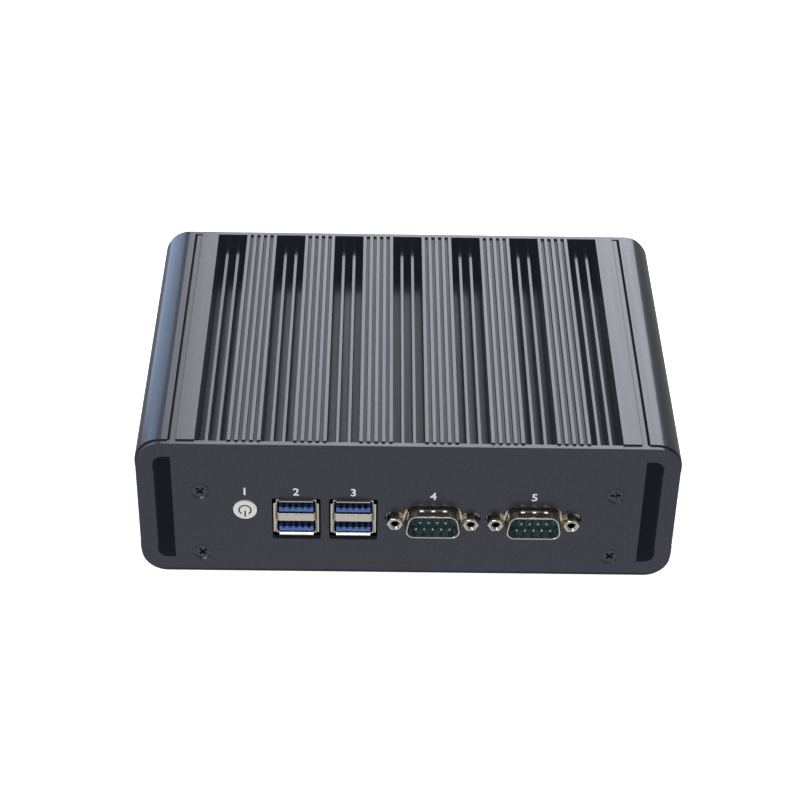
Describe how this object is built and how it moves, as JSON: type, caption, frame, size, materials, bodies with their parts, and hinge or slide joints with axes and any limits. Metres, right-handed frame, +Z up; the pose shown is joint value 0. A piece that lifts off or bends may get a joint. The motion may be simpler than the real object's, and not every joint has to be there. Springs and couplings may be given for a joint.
{
  "type": "fanless industrial computer",
  "caption": "Low, wide finned aluminium computer case with side air ducts, power button, USB and D sockets in front and network, display, power and audio sockets behind.",
  "frame": {"origin": "middle of the footprint, on the surface that the feet stand on", "axes": "+X to the right seen from the front, +Y to the back, +Z up; the sockets and the button face -Y"},
  "size_m": [0.178, 0.1338, 0.0579],
  "materials": {
    "black_anodised": "fine bead-blasted black anodised aluminium, semi-gloss",
    "black_cover": "satin black coated sheet",
    "black_screws": "black oxide steel",
    "foot_rubber": "matt rubber",
    "button_plastic": "pale moulded plastic",
    "black_plastic": "black moulded plastic",
    "spring_steel": "bright spring steel",
    "plated_shell": "nickel-plated drawn steel",
    "blue_plastic": "blue moulded plastic",
    "contact_metal": "plated contacts",
    "dark_insulator": "dark moulded plastic",
    "nickel_jackscrews": "nickel-plated steel",
    "green_board": "green solder mask",
    "chip_black": "moulded chip package",
    "pad_grey": "soft thermal pad",
    "bare_aluminium": "milled aluminium",
    "brass_posts": "turned brass"
  },
  "bodies": {
    "chassis": {"heatsink_body": "black_anodised", "front_panel": "black_anodised", "rear_panel": "black_anodised", "bottom_cover": "black_cover", "front_panel_screws": "black_screws", "rear_panel_screws": "black_screws", "bottom_cover_screws": "black_screws", "rubber_feet": "foot_rubber", "switch_housing": "black_plastic", "dc_jack": "black_plastic", "hdmi_insert": "black_plastic", "lan_1_insert": "black_plastic", "lan_2_insert": "black_plastic", "audio_jacks": "black_plastic", "antenna_hole_plugs": "black_plastic", "memory_socket": "black_plastic", "ssd_socket": "black_plastic", "cell_holder": "black_plastic", "power_chokes": "black_plastic", "switch_dome": "spring_steel", "ssd_screw": "spring_steel", "board_screws": "spring_steel", "coin_cell": "spring_steel", "usb_1_shell": "plated_shell", "usb_2_shell": "plated_shell", "com_1_shell": "plated_shell", "com_2_shell": "plated_shell", "vga_shell": "plated_shell", "hdmi_shell": "plated_shell", "lan_1_shell": "plated_shell", "lan_2_shell": "plated_shell", "usb_1_insert": "blue_plastic", "usb_2_insert": "blue_plastic", "vga_insert": "blue_plastic", "usb_contacts": "contact_metal", "com_pins": "contact_metal", "dc_jack_pin": "contact_metal", "com_1_insulator": "dark_insulator", "com_2_insulator": "dark_insulator", "com_jackscrews": "nickel_jackscrews", "vga_jackscrews": "nickel_jackscrews", "mainboard": "green_board", "memory_module": "green_board", "ssd_module": "green_board", "processor": "chip_black", "network_chips": "chip_black", "thermal_pad": "pad_grey", "heat_spreader": "bare_aluminium", "power_capacitors": "bare_aluminium", "board_standoffs": "brass_posts", "ssd_post": "brass_posts"},
    "button": {"power_button": "button_plastic"}
  },
  "joints": [
    {"name": "power_button_press", "type": "slide", "parent": "chassis", "child": "button", "axis": [0, 1, 0], "range_m": [0, 0.0005], "stiffness_N_per_m": 1500, "springref_m": -0.0003}
  ]
}
